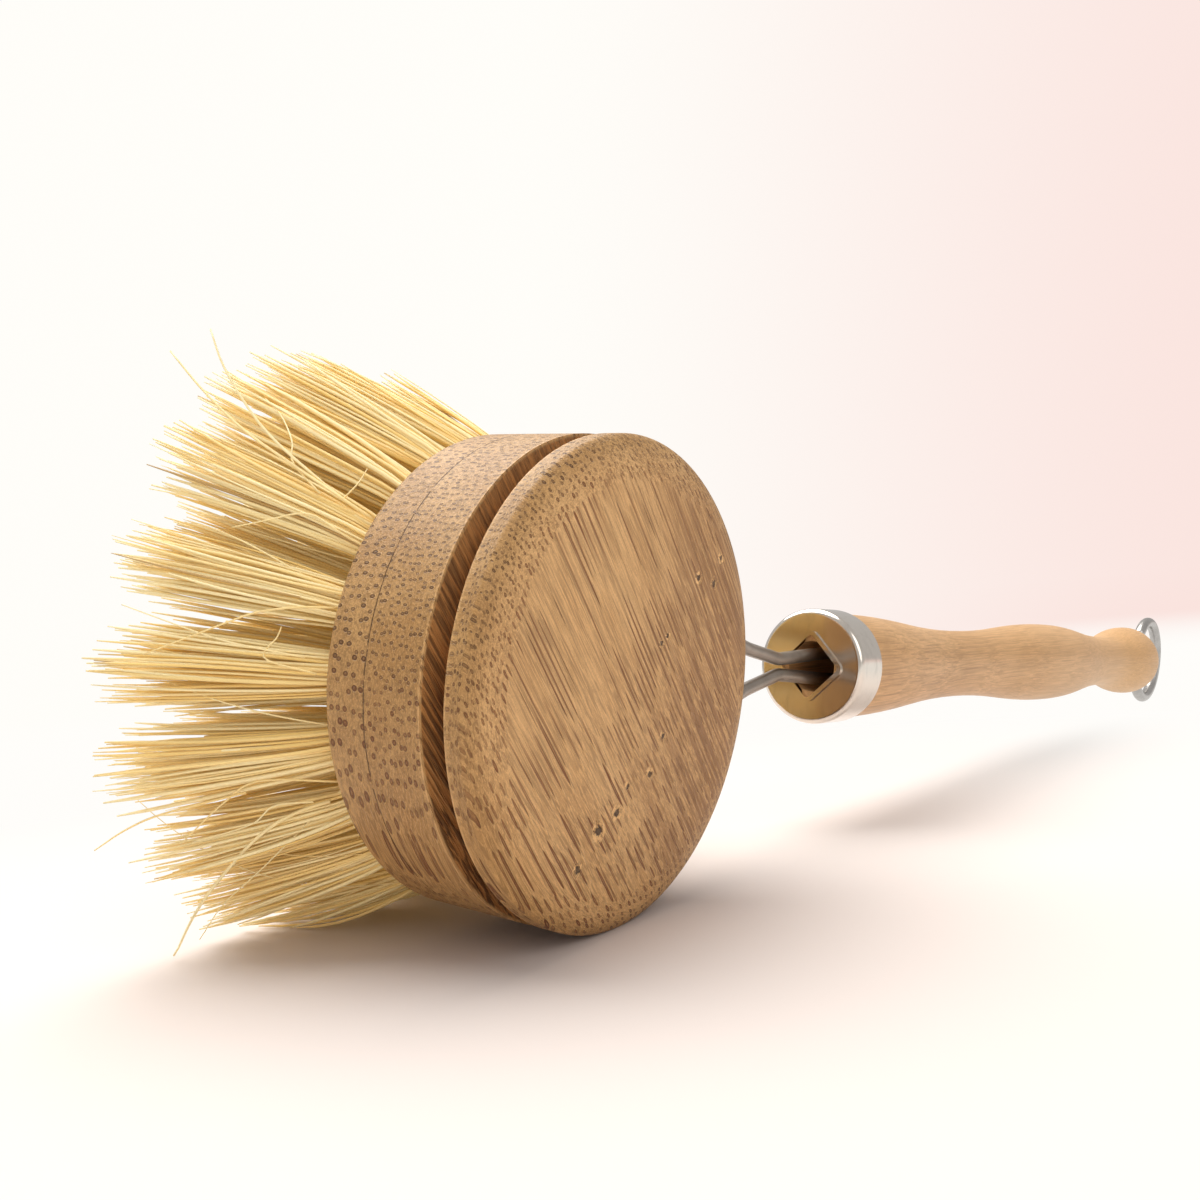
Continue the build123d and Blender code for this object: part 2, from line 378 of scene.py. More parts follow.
def dress_nodes(surface, *names):
    """Gives CAD nodes their material in the slots that they have."""
    for name in names:
        for own in frame["nodes"][name].material_slots:
            own.material = surface.material


# ---- Bamboo

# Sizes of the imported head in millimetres. Heights run from the middle of the groove towards the bristles.
HEAD_RADIUS = 25.0
GROOVE_HALF_WIDTH = 1.4
GLUE_LINE_HEIGHT = 8.15
BOARD_HEIGHT = 13.9

# The grain of the head in the brush's directions
HEAD_GRAIN = (0.655, 0.085, -0.755)

# Streaks in the grain: changes per millimetre across and along it, detail and roughness
FINE_LINES = (2.9, 0.10, 3.0, 0.62)
PALE_THREADS = (6.0, 0.22, 2.0, 0.60)
WARM_BANDS = (0.75, 0.03, 2.0, 0.5)
TORN_WALL = (2.4, 0.10, 3.0, 0.62)
HANDLE_MOTTLE = (0.45, 0.30, 3.0, 0.6)

# Tones that no setting holds
GROOVE_PALE = (0.56, 0.245, 0.070)
GROOVE_DARK = (0.10, 0.028, 0.004)
GROOVE_LIT = (0.56, 0.30, 0.12)
FACE_LINE = (0.31, 0.148, 0.050)
RIM_TINT = (0.76, 0.725, 0.635)


def shaded(tone, share):
    """A tone made darker or lighter."""
    return tuple(min(1.0, share * channel) for channel in tone)


class Bamboo(Surface):
    """Bamboo with fibre bundles along the grain.

    A bundle shows as a dot where it ends in the surface, and as a streak where it lies in it.
    """

    def __init__(self, name, directions, grain, spacing, offset, drift, curl=0.0, stretch=1.0):
        super().__init__(name, Coat_Weight=0.10, Coat_Roughness=0.30, Specular_IOR_Level=0.35)
        ahead = grain.normalized()
        side = ahead.cross(directions.y).normalized()
        run = self.along(directions, ahead)
        across = self.along(directions, side) + offset
        rise = self.along(directions, side.cross(ahead)) + 0.37 * offset

        def patches(per_mm, per_mm_along, detail, roughness=0.5, shift=0.0):
            place = self.combine(across * per_mm + shift, rise * per_mm, run * per_mm_along)
            return self.noise(place, detail, roughness)

        wander = patches(0.06, 0.055, 1.0) - 0.5
        wander_up = patches(0.06, 0.055, 1.0, shift=9.0) - 0.5
        self.run, self.across = run / stretch, across + wander * drift * 0.3
        self.rise = rise + wander_up * drift + run * run * curl + self.worn_down()

        self.broad = patches(0.15, 0.045, 3.0, 0.55)
        self.speckle = patches(6.0, 6.0, 2.0, 0.7)
        self.fine, self.threads = self.streaks(*FINE_LINES), self.streaks(*PALE_THREADS)
        dense_zone = patches(0.055, 0.03, 2.0).rise(0.46, 0.56)
        coarse, coarse_lit_lip = self.bundles(spacing, 0.62)
        dense, dense_lit_lip = self.bundles(spacing * 0.76, 0.66)
        self.bundle = coarse * (1 - dense_zone) + dense * dense_zone * 0.9
        # The bundles' lips on their lit side, used as relief and for a painted highlight.
        self.lit_and_worn_lip = coarse_lit_lip * (1 - dense_zone) + dense_lit_lip * dense_zone * 0.9
        raised = self.threads * 0.35 + self.lit_and_worn_lip * 0.4 + self.fine * 0.5 + self.speckle * 0.15
        self.relief = raised - self.bundle * 0.9

    def worn_down(self):
        """How much deeper in the cane the surface lies than its place says, in millimetres."""
        return 0.0

    def streaks(self, per_mm, per_mm_along, detail, roughness):
        place = self.combine(self.across * per_mm, self.rise * per_mm, self.run * per_mm_along)
        return self.noise(place, detail, roughness)

    def bundles(self, spacing, randomness):
        """Ovals with a paler core, one to a cell across the grain, and the lip on the lit side of each, for relief
        and a painted highlight.
        """
        place = self.combine(self.across / spacing, self.rise / spacing)
        away = self.vector("SUBTRACT", place, self.cells(place, randomness, "Position", "2D"))
        kind = self.red(self.cells(place, randomness, "Color", "2D"))
        narrow, wide = self.dot(away, (5.9, 0, 0)), self.dot(away, (0, 3.3, 0))
        oval = (narrow * narrow + wide * wide) * (1.25 - kind * 0.5)
        dark, core = oval.rise(1.10, 0.78), oval.rise(0.26, 0.06)
        # The lip is kept only on the side where the light would catch it.
        lit_and_worn_lip = (oval.rise(2.6, 1.5) - oval.rise(1.5, 1.0)) * (wide + narrow * 0.5).rise(0.2, -1.0)
        return (dark - core * 0.35) * (kind * 0.4 + 0.6), lit_and_worn_lip

    def wood(self, pale, warm, bundle, contrast=1.0):
        """The colour of the wood, with the bundles in a colour of their own."""
        return self.layered(
            self.mix(self.broad.rise(0.35, 0.65), pale, warm),
            (self.streaks(*WARM_BANDS).rise(0.42, 0.66) * 0.35, shaded(warm, 0.82)),
            (self.fine.rise(0.47, 0.58) * (0.56 * contrast), shaded(warm, 0.60)),
            (self.threads.rise(0.50, 0.60) * (0.50 * contrast), shaded(pale, 1.30)),
            (self.speckle.rise(0.48, 0.66) * (0.30 * contrast), shaded(warm, 0.62)),
            # Painted highlight: the lit lip beside each bundle is made paler.
            (self.lit_and_worn_lip * (0.42 * contrast), shaded(pale, 1.45)),
            (self.bundle * 0.97, bundle),
        )


# Scars on the plain face where a node of the cane was cut: place along the neck, height and size in millimetres
SCARS = (
    (-8.4, -17.1, 0.50), (-5.3, -13.9, 0.62), (-2.3, -12.5, 0.50), (-0.6, -10.0, 0.34),
    (3.4, -9.2, 0.42), (5.6, -5.5, 0.36), (5.3, 4.9, 0.28), (4.2, 4.2, 0.30),
    (10.9, 11.0, 0.38), (14.3, 10.5, 0.40), (15.5, 13.3, 0.38),
)


class HeadBamboo(Bamboo):
    """Bamboo of a head board, with the coarse groove, the dark glue line, worn lips and small scars."""

    def __init__(self, name, offset, settings):
        grain, spacing = brush.towards(*HEAD_GRAIN), settings.bundle_spacing / MM
        super().__init__(name, brush, grain, spacing, offset, drift=0.9, curl=-0.0035)
        pale, warm, bundle, amber = (
            tuple(tone) for tone in (settings.pale, settings.warm, settings.bundle, settings.amber)
        )
        axial, side, up, radial = self.head_places()
        beside_groove = axial.size()
        face = axial.rise(-3.2, -4.6) * radial.rise(HEAD_RADIUS - 0.6, HEAD_RADIUS - 4.0)
        rim = radial.rise(HEAD_RADIUS - 2.4, HEAD_RADIUS - 0.4)
        groove = beside_groove.rise(GROOVE_HALF_WIDTH + 0.10, GROOVE_HALF_WIDTH - 0.04)
        groove = groove * radial.rise(HEAD_RADIUS - 0.05, HEAD_RADIUS - 0.40)
        # The groove's lips are paler from wear.
        lit_and_worn_lip = (beside_groove - GROOVE_HALF_WIDTH - 0.02).size().rise(0.30, 0.04)
        lit_and_worn_lip = lit_and_worn_lip * radial.rise(HEAD_RADIUS - 0.35, HEAD_RADIUS - 0.08)
        torn = self.streaks(*TORN_WALL)
        glue = self.glue_line(axial, side, up, radial)
        chipped, hollow = self.scars(axial, side, up)
        chipped, hollow = chipped * face, hollow * face

        lying = self.lying_bundles(side, up) * (1 - face)
        wood = self.wood(pale, warm, self.mix(lying, amber, bundle))
        wood = self.mix(side.rise(-3.0, 17.0) * face * self.face_lines(), wood, FACE_LINE)
        wood = self.mix(rim, wood, RIM_TINT, "MULTIPLY")
        wood = self.layered(
            wood,
            (groove * 0.94, self.groove_wall(torn, up)),
            (lit_and_worn_lip * torn.rise(0.35, 0.55) * 0.55, shaded(pale, 1.22)),
            (glue * 0.65, shaded(bundle, 0.50)),
            (chipped * 0.85, shaded(pale, 1.45)),
            (hollow * 0.85, shaded(bundle, 0.34)),
        )
        self.feed("Base Color", wood)
        self.feed("Roughness", self.fine * 0.16 + 0.40 + groove * 0.30)
        relief = self.bump(self.relief - hollow * 3.0 - chipped * 0.8, 0.80, 0.00022)
        self.feed("Normal", self.bump(torn * groove - glue * 0.6, 0.85, 0.00050, relief))

    def head_places(self):
        """Height over the groove, places along the neck and upwards, and distance from the head's axis."""
        axial, side, up = (self.along(brush, axis) for axis in (brush.y, brush.x, brush.z))
        return axial, side, up, hypotenuse(side, up)

    def worn_down(self):
        """The face is rounded over towards its edge, where the bundles end as dots."""
        axial, side, up, radial = self.head_places()
        return radial.rise(20.0, 26.5) * axial.rise(-1.6, -3.6) * 5.0

    def lying_bundles(self, side, up):
        """Where the rim runs along the grain, so that the bundles lie in it."""
        along_grain, _, down_grain = HEAD_GRAIN
        return (side * along_grain + up * down_grain).size().rise(14.0, 20.0)

    def face_lines(self):
        """Long dark lines across the handle's side of the face."""
        lines = self.noise(self.combine(self.across * 1.9, 0.0, self.run * 0.04), 3.0, 0.72)
        return lines.rise(0.42, 0.58) * 0.90 + 0.18

    def groove_wall(self, torn, up):
        """The cut wall of the groove, with painted light that makes it lighter towards the top."""
        wall = self.mix(torn.rise(0.42, 0.56), GROOVE_PALE, GROOVE_DARK)
        # Painted light: the wall turns to a lit tone towards its top.
        return self.mix(up.rise(-6.0, 24.0) * 0.5, wall, GROOVE_LIT)

    def glue_line(self, axial, side, up, radial):
        """The thin glue line round the rim, a little uneven and broken in places."""
        wave = self.noise(self.combine(side * 0.3, axial * 0.1, up * 0.3), 1.0) - 0.5
        breaks = self.noise(self.combine(side * 0.8, axial, up * 0.8), 1.0).rise(0.32, 0.48)
        line = (axial - GLUE_LINE_HEIGHT + wave * 0.10).size().rise(0.09, 0.02)
        return line * radial.rise(HEAD_RADIUS - 1.0, HEAD_RADIUS - 0.2) * breaks

    def scars(self, axial, side, up):
        """The pale ragged chips and the dark hollows of the scars."""
        ragged = self.noise(self.combine(side * 1.6, axial * 1.6, up * 1.6), 3.0, 0.7)
        nearest = reduce(Field.least, [hypotenuse(side - x, up - z) / size for x, z, size in SCARS])
        scar = nearest + (ragged - 0.5) * 1.6
        return scar.rise(2.3, 1.7) * ragged.rise(0.44, 0.56), scar.rise(0.90, 0.60)


class HandleBamboo(Bamboo):
    """Bamboo of the turned handle: short faint streaks along it, a soft mottle, and painted light that makes it
    paler to the knob.
    """

    def __init__(self, settings):
        grain = handle.x + handle.z * 0.03
        super().__init__("handle_bamboo", handle, grain, spacing=0.80, offset=3.0, drift=2.0, stretch=2.2)
        pale, warm, bundle = (tuple(tone) for tone in (settings.pale, settings.warm, settings.bundle))
        self.bundle = self.bundle * 0.40
        self.feed("Base Color", self.layered(
            self.wood(pale, warm, bundle, contrast=0.62),
            (self.streaks(*HANDLE_MOTTLE).rise(0.48, 0.72) * 0.40, shaded(warm, 0.74)),
            # Painted light: the handle grows paler towards the knob.
            (self.run.rise(18.0, 65.0) * 0.45, shaded(pale, 1.12)),
        ))
        self.feed("Roughness", self.fine * 0.16 + 0.36)
        self.feed("Normal", self.bump(self.relief, 0.28, 0.0001))


# ---- Metal

class DrawnWire(Surface):
    """Drawn steel wire: dull, with a faint uneven sheen, scratches and specks."""

    def __init__(self, name, tone, roughness):
        super().__init__(name, Metallic=1.0)
        dark_speck = (0.12, 0.10, 0.09)
        clouds = self.noise(self.place, 3.0, 0.6, scale=420.0)
        scratches = self.noise(self.place, 2.0, 0.7, 0.6, 5200.0)
        specks = self.cells(self.vector("MULTIPLY", self.place, (1500.0,) * 3)).rise(0.16, 0.05)
        colour = self.mix(clouds.rise(0.35, 0.70), tone, shaded(tone, 0.86))
        self.feed("Base Color", self.mix(specks * 0.4, colour, dark_speck))
        self.feed("Roughness", clouds * 0.08 + scratches * 0.12 + roughness)
        self.feed("Normal", self.bump(scratches - specks * 0.6, 0.25, 0.00004))


class Plating(Surface):
    """Bright plating with fine turning marks round the band and soft stains on the front."""

    def __init__(self, settings):
        super().__init__("bright_plating", Metallic=1.0)
        run, side, up = (self.along(handle, axis) for axis in (handle.x, handle.y, handle.z))
        turned = self.noise(self.combine(run * 9.0, hypotenuse(side, up) * 6.0), 3.0, 0.7)
        clouds = self.noise(self.place, 3.0, 0.6, scale=300.0)
        smears = self.noise(self.combine(run * 0.6, side * 0.9, up * 0.25), 4.0, 0.65, 0.8)
        tone = tuple(settings.plate_tone)
        self.feed("Base Color", self.mix(smears.rise(0.45, 0.75) * 0.5, tone, shaded(tone, 0.80)))
        self.feed("Roughness", smears * 0.10 + clouds * 0.05 + (settings.plate_roughness - 0.05))
        self.feed("Normal", self.bump(turned * 0.5 + clouds * 0.3, 0.10, 0.00004))


# ---- Fibres

SHEEN_TINT = (1.0, 0.86, 0.55)
STAIN_TONE = (0.60, 0.37, 0.12)
DARK_TIP = (0.36, 0.19, 0.07)
DARK_FIBRE = (0.34, 0.18, 0.07)
GLOW_TONE = (1.0, 0.66, 0.20)


class PlantFibre(Surface):
    """Bleached plant fibre: each strand has its own tone, and fine lines run along it.

    A very small emission stands for the light that passes through the fibres.
    """

    def __init__(self, settings):
        sheen = {"Sheen_Weight": 0.40, "Sheen_Roughness": 0.45, "Sheen_Tint": SHEEN_TINT}
        super().__init__("plant_fibre", Emission_Strength=0.03, **sheen)
        shade, reach = (
            self.node("ShaderNodeAttribute", {"attribute_name": name}, None, "Fac")
            for name in ("fibre_shade", "fibre_reach")
        )
        side, up, out = (self.along(brush, axis) for axis in (brush.x, brush.z, brush.y))
        lines = self.noise(self.combine(side * 9.0, up * 9.0, out * 0.45), 2.0, 0.6)
        stain = self.noise(self.combine(side * 0.8, up * 0.8, out * 0.20), 3.0, 0.6)
        ivory, straw = tuple(settings.ivory), tuple(settings.straw)
        colour = self.layered(
            self.mix(shade.rise(0.85, 0.05), ivory, straw),
            (reach.rise(0.50, 0.0) * 0.40, straw),
            (lines.rise(0.45, 0.70) * 0.22, shaded(straw, 0.80)),
            (stain.rise(0.66, 0.82) * 0.30, STAIN_TONE),
            (reach.rise(0.90, 1.0) * shade.rise(0.07, 0.03) * 0.6, DARK_TIP),
            (shade.rise(0.016, 0.008) * 0.7, DARK_FIBRE),
        )
        self.feed("Base Color", colour)
        self.feed("Emission Color", self.mix(0.6, colour, GLOW_TONE))
        self.feed("Roughness", lines * 0.25 + 0.36)
        self.feed("Normal", self.bump(lines, 0.25, 0.00005))


def fibre_mesh(name, paths, widths, shades, sides=5):
    """One mesh of closed, tapered strands. Paths are strand x step x 3 in metres, widths the radii there."""
    strands, steps = paths.shape[:2]
    ahead = np.gradient(paths, axis=1)
    ahead /= np.linalg.norm(ahead, axis=2, keepdims=True)
    mean = ahead.mean(1, keepdims=True)
    least = np.eye(3)[np.abs(mean[:, 0]).argmin(1)][:, None]
    first = np.cross(ahead, least)
    first /= np.linalg.norm(first, axis=2, keepdims=True)
    second = np.cross(ahead, first)
    turns = np.arange(sides) * 2 * np.pi / sides
    ring = (
        first[:, :, None] * np.cos(turns)[None, None, :, None]
        + second[:, :, None] * np.sin(turns)[None, None, :, None]
    )
    places = paths[:, :, None] + ring * widths[:, :, None, None]
    index = np.arange(strands * steps * sides).reshape(strands, steps, sides)
    after = np.roll(index, -1, axis=2)
    walls = np.stack([index[:, :-1], index[:, 1:], after[:, 1:], after[:, :-1]], -1).reshape(-1, 4)
    roots = index[:, 0]
    tips = index[:, -1, ::-1]
    mesh = bpy.data.meshes.new(name)
    mesh.from_pydata(places.reshape(-1, 3).tolist(), [], walls.tolist() + roots.tolist() + tips.tolist())
    mesh.attributes.new("fibre_shade", "FLOAT", "POINT").data.foreach_set(
        "value", np.repeat(shades, steps * sides).astype(np.float32)
    )
    reach = np.tile(np.repeat(np.linspace(0, 1, steps), sides), strands)
    mesh.attributes.new("fibre_reach", "FLOAT", "POINT").data.foreach_set("value", reach.astype(np.float32))
    mesh.polygons.foreach_set("use_smooth", np.ones(len(mesh.polygons), bool))
    mesh.update()
    piece = bpy.data.objects.new(name, mesh)
    bpy.context.scene.collection.objects.link(piece)
    return piece


FLOOR_CLEARANCE = 0.0002
FLOOR_SOFTNESS = 0.0009


def lie_on_floor(points):
    """Bends what would go below the floor so that it lies on it. Points and clearances are in metres."""
    depth = (points[..., 2] - FLOOR_CLEARANCE) / FLOOR_SOFTNESS
    points[..., 2] = np.logaddexp(0, depth) * FLOOR_SOFTNESS + FLOOR_CLEARANCE * 0.6
    return points


# Rings of tufts: name, number of tufts, how far the tips fan out, fibres as a share of the usual number, and
# the tips' distance from the middle as a share of the outer ring's
RINGS = (
    ("centre", 1, 4.5, 2.2, 0.0),
    ("inner", 7, 3.7, 1.55, 0.41),
    ("middle", 14, 3.5, 1.5, 0.79),
    ("outer", 20, 2.35, 1.0, 1.0),
)
RING_PITCH = 6.6
HOLE_RADIUS = 1.9
ROOT_DEPTH = 3.6
STRAND_STEPS = 9
GOLDEN_ANGLE = pi * (3 - sqrt(5))

# How the strands of a tuft vary: clumps of tips and their spread, scatter of the tips, share of short strands,
# how much lower the edge of a tuft is trimmed, and how far a strand bows and waves, in millimetres
CLUMPS, CLUMP_SPREAD, TIP_SCATTER = 11, 2.1, 0.34
SHORT_SHARE, TRIM_FALL, BOW, WAVE = 0.12, 0.012, 0.26, 0.06

# How the outer tufts of the used brush lean: place round the head and sideways lean in degrees, and how far
# from the middle their tips reach in millimetres
LEANS = (
    (0, 0.0, 28.5), (90, 0.0, 28.8), (108, -2.4, 29.8), (126, -5.4, 30.4), (144, -7.9, 29.8),
    (162, -5.0, 29.7), (180, -2.2, 28.5), (198, 2.0, 28.3), (216, 6.2, 30.1), (234, 4.0, 31.5),
    (252, -4.3, 31.9), (270, -11.1, 31.3), (288, -5.7, 30.9), (306, -3.0, 29.5), (324, 0.0, 28.5),
    (360, 0.0, 28.5),
)


def tip_place(angle, share):
    """Where a tuft's tips end, as angle and distance. The outer ring has the full share, the middle none."""
    places, leans, reaches = zip(*LEANS)
    lean, reach = (np.interp(np.degrees(angle), places, values) for values in (leans, reaches))
    return angle + radians(lean) * share, reach * share


def tuft_paths(rng, distance, angle, tip_share, fan, count, trim):
    """Strands of one tuft in the brush's millimetres: from deep in the hole to the trimmed tips."""
    order = np.arange(count)
    from_middle = HOLE_RADIUS * np.sqrt((order + 0.5) / count)
    turn = order * GOLDEN_ANGLE + rng.uniform(0, 0.35, count)
    root = np.stack([from_middle * np.cos(turn), from_middle * np.sin(turn)], -1)
    clumps = rng.normal(0, CLUMP_SPREAD, (CLUMPS, 2))
    tip = root * rng.uniform(fan - 0.2, fan + 0.2) + rng.normal(0, TIP_SCATTER, (count, 2))
    nearest = ((tip[:, None] - clumps) ** 2).sum(-1).argmin(1)
    tip += (clumps[nearest] - tip) * rng.uniform(0.0, 0.50, count)[:, None]

    height = trim - 0.2 - np.abs(rng.normal(0, 0.85, count)) + rng.uniform(-0.3, 0.9, count)
    short = rng.random(count) < SHORT_SHARE
    height[short] -= rng.uniform(1.0, 7.0, short.sum())
    tip *= ((height - BOARD_HEIGHT) / (trim - BOARD_HEIGHT))[:, None]
    height -= TRIM_FALL * (tip**2).sum(-1)

    y = np.linspace(BOARD_HEIGHT - ROOT_DEPTH, height, STRAND_STEPS, axis=1)
    above = np.clip((y - BOARD_HEIGHT + 0.4) / (height - BOARD_HEIGHT + 0.4)[:, None], 0, 1)
    bend = above**0.84
    bow = rng.normal(0, BOW, (count, 2))[:, None] * np.sin(pi * above)[..., None]
    phase = above * rng.uniform(4, 10, count)[:, None] + rng.uniform(0, 2 * pi, count)[:, None]
    wave = rng.normal(0, WAVE, (count, 2))[:, None] * (np.sin(phase) * above)[..., None]

    tip_angle, tip_distance = tip_place(angle, tip_share)
    outward = np.array([cos(angle), -sin(angle)])
    turned = np.array([outward, (-sin(angle), -cos(angle))])
    start = outward * distance + root @ turned
    end = np.array([cos(tip_angle), -sin(tip_angle)]) * tip_distance + tip @ turned
    flat = start[:, None] + (end - start)[:, None] * bend[..., None] + bow + wave
    return np.stack([flat[..., 0], y, flat[..., 1]], -1)


LOOSE_STEPS = 18

# Single strands that stand out of the tufts: name, radius and points in the brush's millimetres
LOOSE_STRANDS = (
    ("curl", 0.20, ((-19.8, 17, -12.5), (-20.2, 20, -13.7), (-21.5, 22.5, -15.3), (-21.8, 25.5, -17.7),
                    (-21.8, 28.5, -20.6), (-22.2, 31, -23.6), (-22.4, 33, -26.4), (-22.3, 34.7, -29.1),
                    (-22.3, 36, -32.1))),
    ("loop", 0.11, ((-18.0, 13.0, 11.4), (-19.8, 16.8, 13.2), (-20.9, 19.7, 14.9), (-21.8, 21.5, 15.1),
                    (-23.4, 23.9, 14.3), (-25.2, 26.8, 13.4))),
    ("high_arc", 0.10, ((-19.9, 20.5, 17.2), (-19.8, 24.7, 20.2), (-19.0, 25.9, 22.4), (-18.0, 28.8, 25.1),
                        (-17.8, 31.6, 27.0))),
    ("cross", 0.09, ((-18.8, 18.6, 16.7), (-17.4, 18.0, 18.4), (-15.9, 18.3, 20.0))),
    ("arc", 0.12, ((-22.3, 15.0, 6.4), (-23.8, 18.5, 6.2), (-25.5, 22.1, 5.5), (-26.8, 24.6, 4.4),
                   (-28.0, 27.4, 3.1), (-30.1, 32.9, 0.6))),
    ("long", 0.17, ((-17.6, 15.2, 14.9), (-18.9, 18.6, 16.9), (-20.2, 23.9, 19.8), (-21.8, 29.8, 23.2),
                    (-22.6, 35.6, 27.3), (-23.2, 40.4, 31.4))),
    ("fork", 0.16, ((-17.2, 16.0, 14.8), (-19.2, 21.5, 18.6), (-21.4, 27.4, 23.4), (-22.4, 32.4, 29.2),
                    (-22.2, 35.4, 33.6))),
    ("hooked", 0.10, ((-23.9, 15.4, 0.2), (-25.4, 20.9, 1.2), (-24.9, 19.9, 3.3), (-24.7, 19.6, 4.3))),
    ("dark", 0.10, ((-24.0, 17.0, 1.6), (-26.6, 24.0, 2.4), (-28.0, 28.6, 3.3), (-30.3, 36.4, 5.2))),
    ("low_cross", 0.12, ((-20.6, 15.0, -10.2), (-23.8, 22.6, -10.9), (-24.7, 26.5, -13.5),
                         (-24.6, 33.0, -18.8))),
    ("low_tip", 0.12, ((-24.2, 24.0, -12.2), (-27.2, 32.3, -15.2), (-28.2, 36.8, -17.4),
                       (-28.9, 41.0, -20.2))),
    ("low_thin", 0.09, ((-18.5, 15, -10.0), (-18.8, 18, -12.7), (-19.8, 21, -16.1), (-19.1, 27, -21.1),
                        (-19.8, 32, -25.8), (-20.0, 35, -30.1))),
    ("sprig", 0.10, ((-21.6, 17.4, -12.4), (-22.8, 21.5, -13.3), (-23.0, 24.5, -15.6), (-24.8, 30.9, -18.2))),
)


def smooth_path(points, steps):
    """A smooth line through a few points, as Catmull-Rom pieces."""
    held = np.array([2 * np.array(points[0]) - points[1], *points, 2 * np.array(points[-1]) - points[-2]])
    place = np.linspace(0, len(points) - 1, steps)
    piece = np.minimum(place.astype(int), len(points) - 2)
    t = (place - piece)[:, None]
    a, b, c, d = (held[piece + i] for i in range(4))
    return 0.5 * (2 * b + (c - a) * t + (2 * a - 5 * b + 4 * c - d) * t**2 + (3 * b - a - 3 * c + d) * t**3)


# Loose strands that wander: distance from the middle at the board, how far they lean out to a millimetre of
# height, how far they bow out, and the length of the longest, in millimetres
WANDER_START, WANDER_LEAN, WANDER_BOW, WANDER_LENGTH = 21.6, 0.36, 1.2, 24


def wandering_paths(rng, count):
    """Fibres that have worked loose from the outer tufts and cross their neighbours."""
    outer_tufts = RINGS[-1][1]
    angle = rng.integers(0, outer_tufts, count) * 2 * pi / outer_tufts + rng.normal(0, 0.05, count)
    height = rng.uniform(BOARD_HEIGHT, 18, count)
    grow = rng.uniform(12, WANDER_LENGTH, count)
    sideways = rng.normal(0, 0.30, count)
    curve = rng.normal(0, 0.22, count)
    t = np.linspace(0, 1, LOOSE_STEPS)[None]
    y = height[:, None] + grow[:, None] * t
    swing = angle[:, None] + (sideways[:, None] * t + curve[:, None] * t**2) * (grow / WANDER_LENGTH)[:, None]
    start = WANDER_START + rng.uniform(-1.6, 0.4, count)[:, None]
    reach = start + (y - BOARD_HEIGHT) * WANDER_LEAN + WANDER_BOW * np.sin(pi * t)
    return np.stack([reach * np.cos(swing), y, -reach * np.sin(swing)], -1)


def strand_widths(rng, count, mean):
    """Radii along each strand in metres: every fibre has its own thickness and thins out to its tip."""
    base = np.clip(rng.normal(mean, 0.28 * mean, count), 0.45 * mean, 1.9 * mean) / 2
    t = np.linspace(0, 1, STRAND_STEPS)[None]
    taper = 1 - 0.30 * t - 0.40 * np.clip((t - 0.86) / 0.14, 0, 1) ** 2
    return base[:, None] * taper * MM


# ---- Operators

class DressBoards(Operator):
    """Gives the two glued boards of the head their bamboo"""

    bl_idname = "dish_brush.dress_boards"
    bl_label = "Head boards"

    def execute(self, context):
        settings = context.scene.dish_brush_head
        dress_nodes(HeadBamboo("block_bamboo", 0.0, settings), "head_block")
        dress_nodes(HeadBamboo("bristle_board_bamboo", 17.0, settings), "bristle_board")
        return {"FINISHED"}


class GrowTufts(Operator):
    """Replaces the tufts with full bundles of fibre, one for each hole"""

    bl_idname = "dish_brush.grow_tufts"
    bl_label = "Fibre tufts"

    def execute(self, context):
        settings = context.scene.dish_brush_tufts
        surface = PlantFibre(settings)
        number = 0
        for ring, (ring_name, tufts, fan, fullness, tip_share) in enumerate(RINGS):
            count = round(settings.per_tuft * fullness)
            for place in range(tufts):
                rng = np.random.default_rng(4100 + number)
                angle = 2 * pi * place / tufts
                paths = tuft_paths(rng, ring * RING_PITCH, angle, tip_share, fan, count, settings.trim / MM)
                widths = strand_widths(rng, count, settings.thickness / MM)
                node = f"tuft_{ring_name}_{place + 1:02d}"
                points = lie_on_floor(brush.points(paths))
                piece = fibre_mesh(f"{node}_fibres", points, widths, rng.random(count))
                surface.dress(piece)
                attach(piece, "head")
                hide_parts(node)
                number += 1
        return {"FINISHED"}


class LoosenStrands(Operator):
    """Adds the single strands that have worked out of the tufts and cross them"""

    bl_idname = "dish_brush.loosen_strands"
    bl_label = "Loose strands"

    def execute(self, context):
        settings = context.scene.dish_brush_tufts
        surface = PlantFibre(settings)
        rng = np.random.default_rng(77)
        held = np.array([smooth_path(points, LOOSE_STEPS) for _, _, points in LOOSE_STRANDS])
        loose = wandering_paths(rng, settings.loose)
        points = lie_on_floor(brush.points(np.concatenate([held, loose])))
        held_radii = [radius for _, radius, _ in LOOSE_STRANDS]
        radii = np.concatenate([held_radii, rng.uniform(0.05, 0.11, settings.loose)])
        taper = 1 - 0.45 * np.linspace(0, 1, LOOSE_STEPS) ** 2
        shades = rng.uniform(0.35, 1.0, len(radii))
        piece = fibre_mesh("loose_strands", points, radii[:, None] * taper * MM, shades)
        surface.dress(piece)
        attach(piece, "head")
        return {"FINISHED"}


class DressAnchors(Operator):
    """Gives the flat wire anchors in the holes their steel"""

    bl_idname = "dish_brush.dress_anchors"
    bl_label = "Tuft anchors"

    def execute(self, context):
        tone = tuple(context.scene.dish_brush_metal.anchor_tone)
        dress_nodes(DrawnWire("anchor_steel", tone, roughness=0.30), "tuft_anchors")
        return {"FINISHED"}


class DressClamp(Operator):
    """Gives the two clamp wires their drawn steel"""

    bl_idname = "dish_brush.dress_clamp"
    bl_label = "Clamp wires"

    def execute(self, context):
        tone = tuple(context.scene.dish_brush_metal.wire_tone)
        dress_nodes(DrawnWire("clamp_steel", tone, roughness=0.27), "clamp_wire_upper", "clamp_wire_lower")
        return {"FINISHED"}


